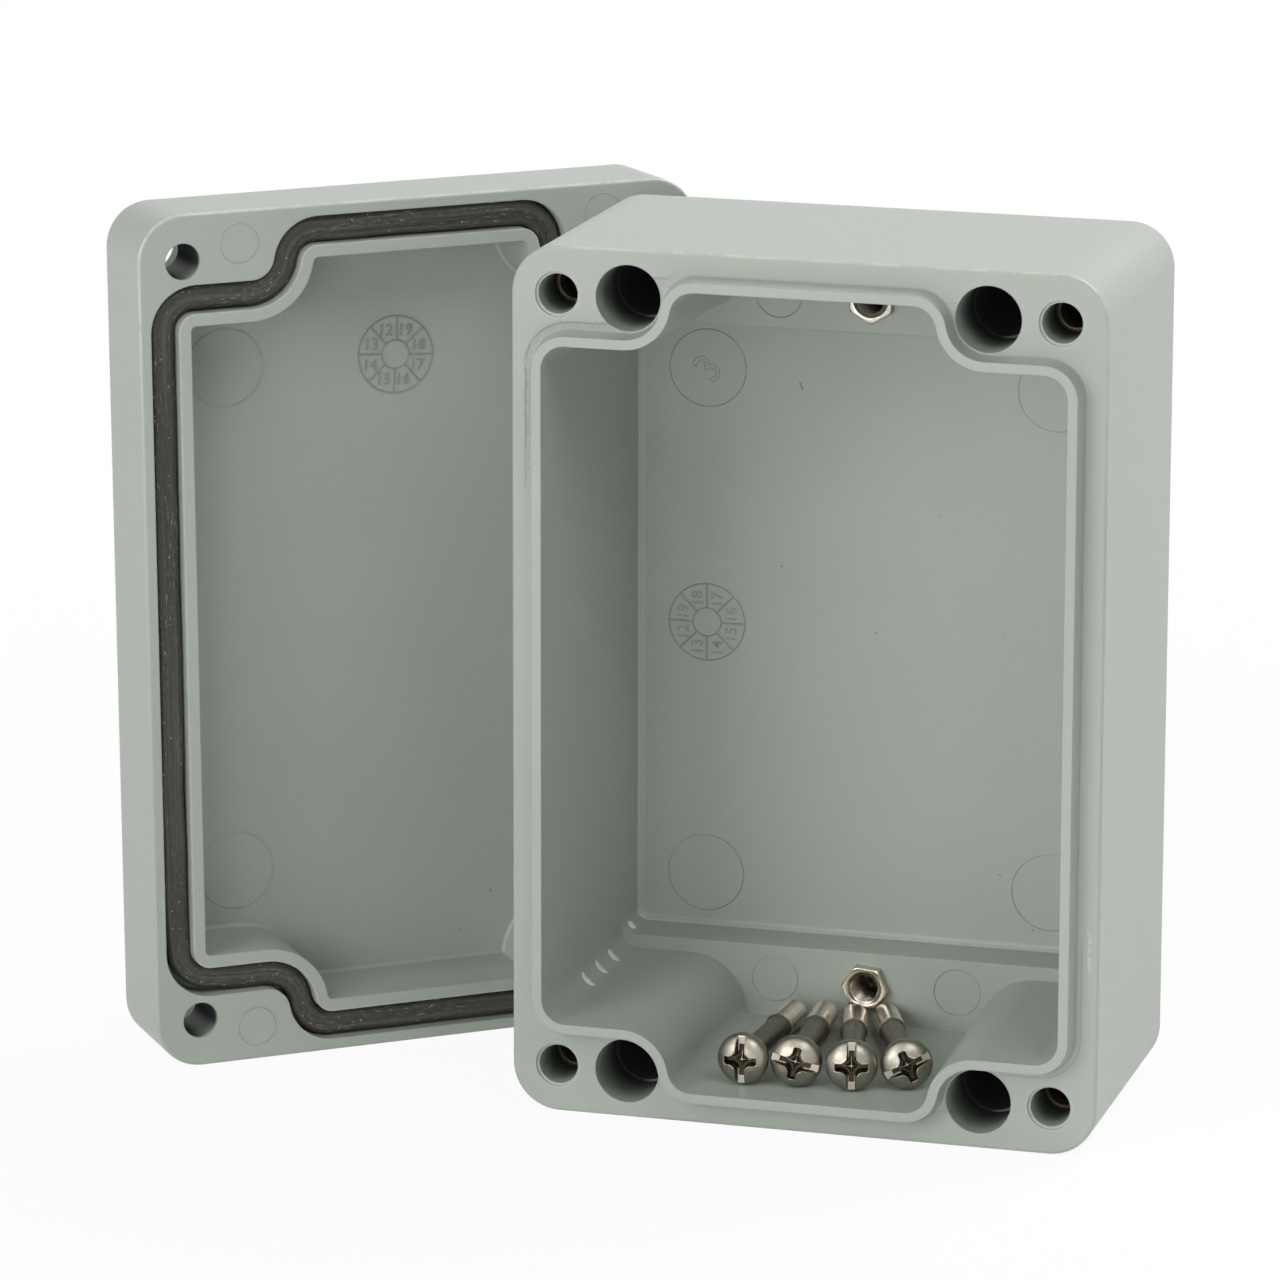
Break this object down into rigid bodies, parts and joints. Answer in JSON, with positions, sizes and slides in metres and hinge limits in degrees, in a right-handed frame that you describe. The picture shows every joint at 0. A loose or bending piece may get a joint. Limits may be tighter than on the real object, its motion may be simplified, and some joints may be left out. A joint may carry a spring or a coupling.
{
  "type": "polyester enclosure",
  "caption": "Moulded grey polyester enclosure, open: deep base with a tongued rim, corner bores and loose screws, and its grooved lid with a rubber gasket.",
  "frame": {"origin": "centre of the rectangle of the four wall-fixing holes, on the base's back face", "axes": "+Z along the case's length, upwards as it stands in the picture; +Y out of the base's back; the open rim faces -Y; +X to the right seen from the open side"},
  "size_m": [0.1322, 0.0618, 0.1104],
  "materials": {
    "polyester": "fine-textured moulded glass-reinforced polyester",
    "rubber": "extruded rubber, slightly dusty",
    "stainless": "stainless steel, drawn and rolled",
    "nickel_brass": "nickel-plated brass"
  },
  "bodies": {
    "base": {"base_shell": "polyester", "lid_screw_insert_1": "nickel_brass", "lid_screw_insert_2": "nickel_brass", "lid_screw_insert_3": "nickel_brass", "lid_screw_insert_4": "nickel_brass", "plate_insert_upper": "nickel_brass", "plate_insert_lower": "nickel_brass", "lid_screw_1": "stainless", "lid_screw_2": "stainless", "lid_screw_3": "stainless", "lid_screw_4": "stainless"},
    "lid": {"lid_shell": "polyester", "gasket": "rubber"}
  },
  "joints": [
    {"name": "lid_lift", "type": "slide", "parent": "base", "child": "lid", "axis": [0, 0, 1], "range_m": [0, 0.13]}
  ]
}
